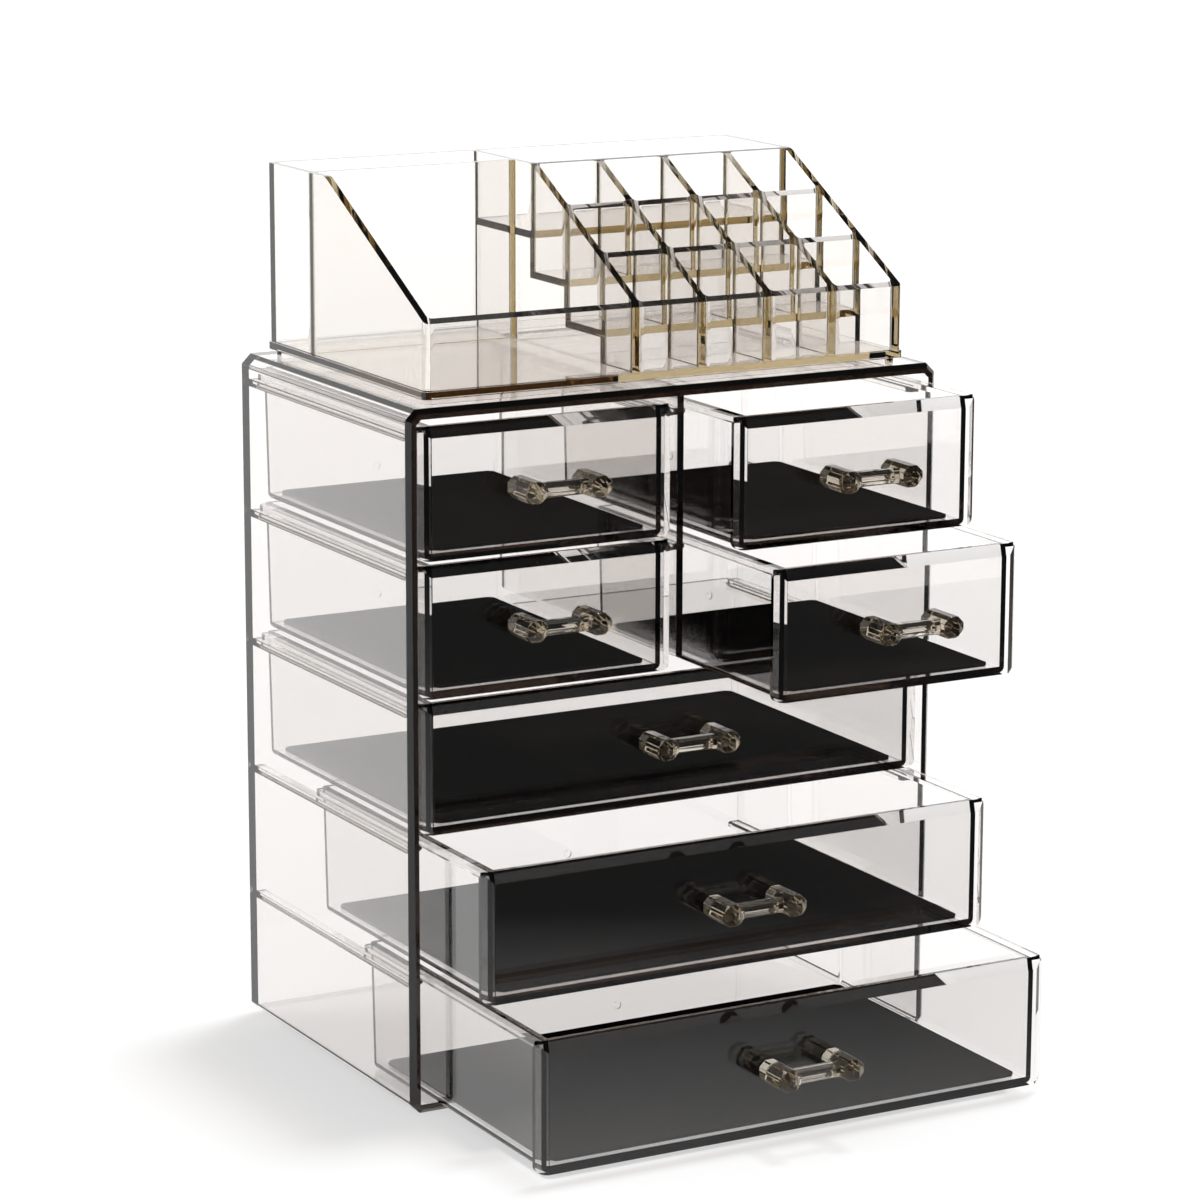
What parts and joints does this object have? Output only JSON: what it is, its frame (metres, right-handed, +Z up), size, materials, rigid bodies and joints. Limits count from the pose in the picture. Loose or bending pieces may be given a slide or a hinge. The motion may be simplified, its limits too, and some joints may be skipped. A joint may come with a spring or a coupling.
{
  "type": "makeup organizer with drawers",
  "caption": "Clear tower of stacked pull-out drawers, small ones above wide ones, with bar handles and a lift-off top tray of stepped cells and open compartments.",
  "frame": {"origin": "centre of the underside of the case", "axes": "+X to the right seen from the front, -Y the way the drawers open, +Z up"},
  "size_m": [0.241, 0.267, 0.362],
  "materials": {
    "clear_acrylic": "clear moulded plastic with a light smoky tint, near-black where seen edge-on",
    "liner_mesh": "thin near-black foam mat with an open net surface"
  },
  "bodies": {
    "case": {"case_shell": "clear_acrylic"},
    "drawer_top_left": {"small_drawer_top_left": "clear_acrylic", "handle_top_left": "clear_acrylic", "liner_top_left": "liner_mesh"},
    "drawer_top_right": {"small_drawer_top_right": "clear_acrylic", "handle_top_right": "clear_acrylic", "liner_top_right": "liner_mesh"},
    "drawer_second_left": {"small_drawer_second_left": "clear_acrylic", "handle_second_left": "clear_acrylic", "liner_second_left": "liner_mesh"},
    "drawer_second_right": {"small_drawer_second_right": "clear_acrylic", "handle_second_right": "clear_acrylic", "liner_second_right": "liner_mesh"},
    "drawer_upper": {"wide_drawer_upper": "clear_acrylic", "handle_upper": "clear_acrylic", "liner_upper": "liner_mesh"},
    "drawer_middle": {"wide_drawer_middle": "clear_acrylic", "handle_middle": "clear_acrylic", "liner_middle": "liner_mesh"},
    "drawer_lower": {"wide_drawer_lower": "clear_acrylic", "handle_lower": "clear_acrylic", "liner_lower": "liner_mesh"},
    "tray": {"top_tray": "clear_acrylic"}
  },
  "joints": [
    {"name": "slide_top_left", "type": "slide", "parent": "case", "child": "drawer_top_left", "axis": [0, -1, 0], "range_m": [0, 0.13]},
    {"name": "slide_top_right", "type": "slide", "parent": "case", "child": "drawer_top_right", "axis": [0, -1, 0], "range_m": [-0.039, 0.091]},
    {"name": "slide_second_left", "type": "slide", "parent": "case", "child": "drawer_second_left", "axis": [0, -1, 0], "range_m": [0, 0.13]},
    {"name": "slide_second_right", "type": "slide", "parent": "case", "child": "drawer_second_right", "axis": [0, -1, 0], "range_m": [-0.07, 0.06]},
    {"name": "slide_upper", "type": "slide", "parent": "case", "child": "drawer_upper", "axis": [0, -1, 0], "range_m": [0, 0.13]},
    {"name": "slide_middle", "type": "slide", "parent": "case", "child": "drawer_middle", "axis": [0, -1, 0], "range_m": [-0.052, 0.078]},
    {"name": "slide_lower", "type": "slide", "parent": "case", "child": "drawer_lower", "axis": [0, -1, 0], "range_m": [-0.0955, 0.0345]},
    {"name": "tray_lift", "type": "slide", "parent": "case", "child": "tray", "axis": [0, 0, 1], "range_m": [0, 0.09]}
  ]
}
